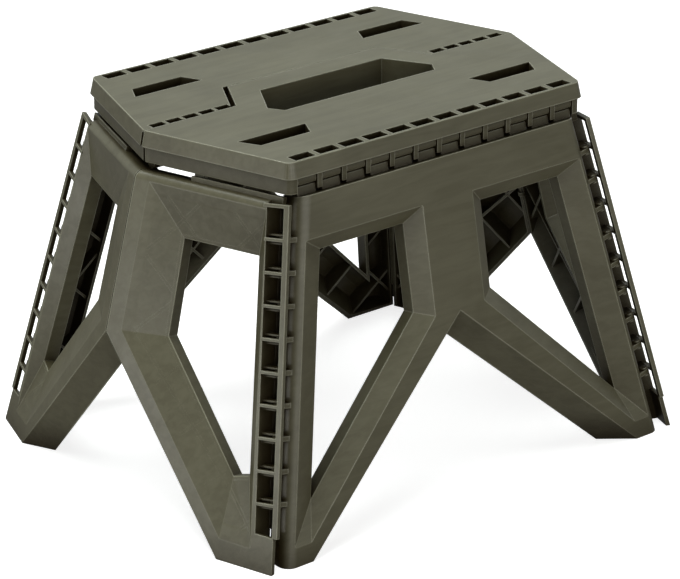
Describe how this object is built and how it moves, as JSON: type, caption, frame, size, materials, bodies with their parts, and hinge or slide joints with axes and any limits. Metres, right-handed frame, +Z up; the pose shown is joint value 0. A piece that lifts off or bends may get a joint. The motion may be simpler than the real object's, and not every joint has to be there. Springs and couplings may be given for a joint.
{
  "type": "folding stool",
  "caption": "Folding stool in moulded plastic: a split hexagonal seat with a handle slot, on hinged splayed leg panels with large openings, that folds flat.",
  "frame": {"origin": "on the floor under the centre of the seat", "axes": "+X along the seat's length to the right, +Y to the back, +Z up"},
  "size_m": [0.3748, 0.3, 0.247],
  "materials": {
    "olive_plastic": "moulded, low sheen, faint flow marks"
  },
  "bodies": {
    "seat_front": {"seat_front": "olive_plastic"},
    "seat_rear": {"seat_rear": "olive_plastic"},
    "long_front": {"long_front": "olive_plastic"},
    "long_rear": {"long_rear": "olive_plastic"},
    "end_front_left": {"end_front_left": "olive_plastic"},
    "end_front_right": {"end_front_right": "olive_plastic"},
    "end_rear_left": {"end_rear_left": "olive_plastic"},
    "end_rear_right": {"end_rear_right": "olive_plastic"}
  },
  "joints": [
    {"name": "centre_fold", "type": "hinge", "parent": "seat_front", "child": "seat_rear", "pos_m": [0, 0, 0.22343], "axis": [-1, 0, 0], "range_deg": [0, 180]},
    {"name": "rim_rear", "type": "hinge", "parent": "seat_rear", "child": "long_rear", "pos_m": [0, 0.099, 0.233], "axis": [1, 0, 0], "range_deg": [0, 79.5]},
    {"name": "rim_front", "type": "hinge", "parent": "seat_front", "child": "long_front", "pos_m": [0, -0.099, 0.233], "axis": [-1, 0, 0], "range_deg": [0, 79.5]},
    {"name": "corner_front_left", "type": "hinge", "parent": "long_front", "child": "end_front_left", "pos_m": [-0.16666, -0.1433, -0.00225], "axis": [0.1994, 0.1786, 0.9635], "range_deg": [0, 70.46]},
    {"name": "corner_front_right", "type": "hinge", "parent": "long_front", "child": "end_front_right", "pos_m": [0.16666, -0.1433, -0.00225], "axis": [0.1994, -0.1786, -0.9635], "range_deg": [0, 70.46]},
    {"name": "corner_rear_left", "type": "hinge", "parent": "long_rear", "child": "end_rear_left", "pos_m": [-0.16666, 0.1433, -0.00225], "axis": [-0.1994, 0.1786, -0.9635], "range_deg": [0, 70.46]},
    {"name": "corner_rear_right", "type": "hinge", "parent": "long_rear", "child": "end_rear_right", "pos_m": [0.16666, 0.1433, -0.00225], "axis": [-0.1994, -0.1786, 0.9635], "range_deg": [0, 70.46]}
  ],
  "couplings": [
    {"joint": "rim_rear", "follows": "centre_fold", "ratio": 0.44166},
    {"joint": "rim_front", "follows": "centre_fold", "ratio": 0.44166},
    {"joint": "corner_front_left", "follows": "centre_fold", "ratio": 0.39144},
    {"joint": "corner_front_right", "follows": "centre_fold", "ratio": 0.39144},
    {"joint": "corner_rear_left", "follows": "centre_fold", "ratio": 0.39144},
    {"joint": "corner_rear_right", "follows": "centre_fold", "ratio": 0.39144}
  ]
}
